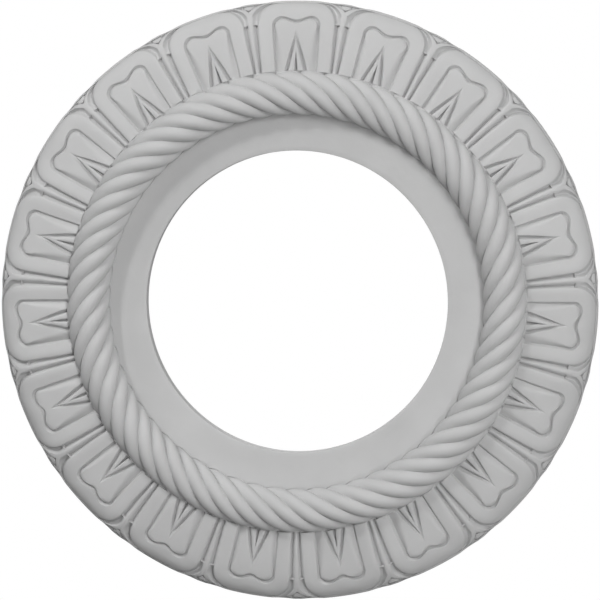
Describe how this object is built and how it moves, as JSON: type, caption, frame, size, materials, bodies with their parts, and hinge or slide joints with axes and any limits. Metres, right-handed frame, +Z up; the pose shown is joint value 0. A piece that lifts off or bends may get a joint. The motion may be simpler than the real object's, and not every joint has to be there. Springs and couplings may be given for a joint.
{
  "type": "ceiling rose",
  "caption": "Ring-shaped ceiling rose with an open middle, a plain flange, a carved rope and a border of leaves; fixed face down round a hanging light.",
  "frame": {"origin": "centre of the flat back face, in the plane of the ceiling that it is fixed to", "axes": "+Z up, along the ring's axis and out of the back into the ceiling; the carved face looks down along -Z; +Y runs through the middle of one leaf"},
  "size_m": [0.33, 0.33, 0.025],
  "materials": {
    "primed_foam": "matte"
  },
  "bodies": {
    "root": {"ceiling_rose": "primed_foam"}
  },
  "joints": []
}
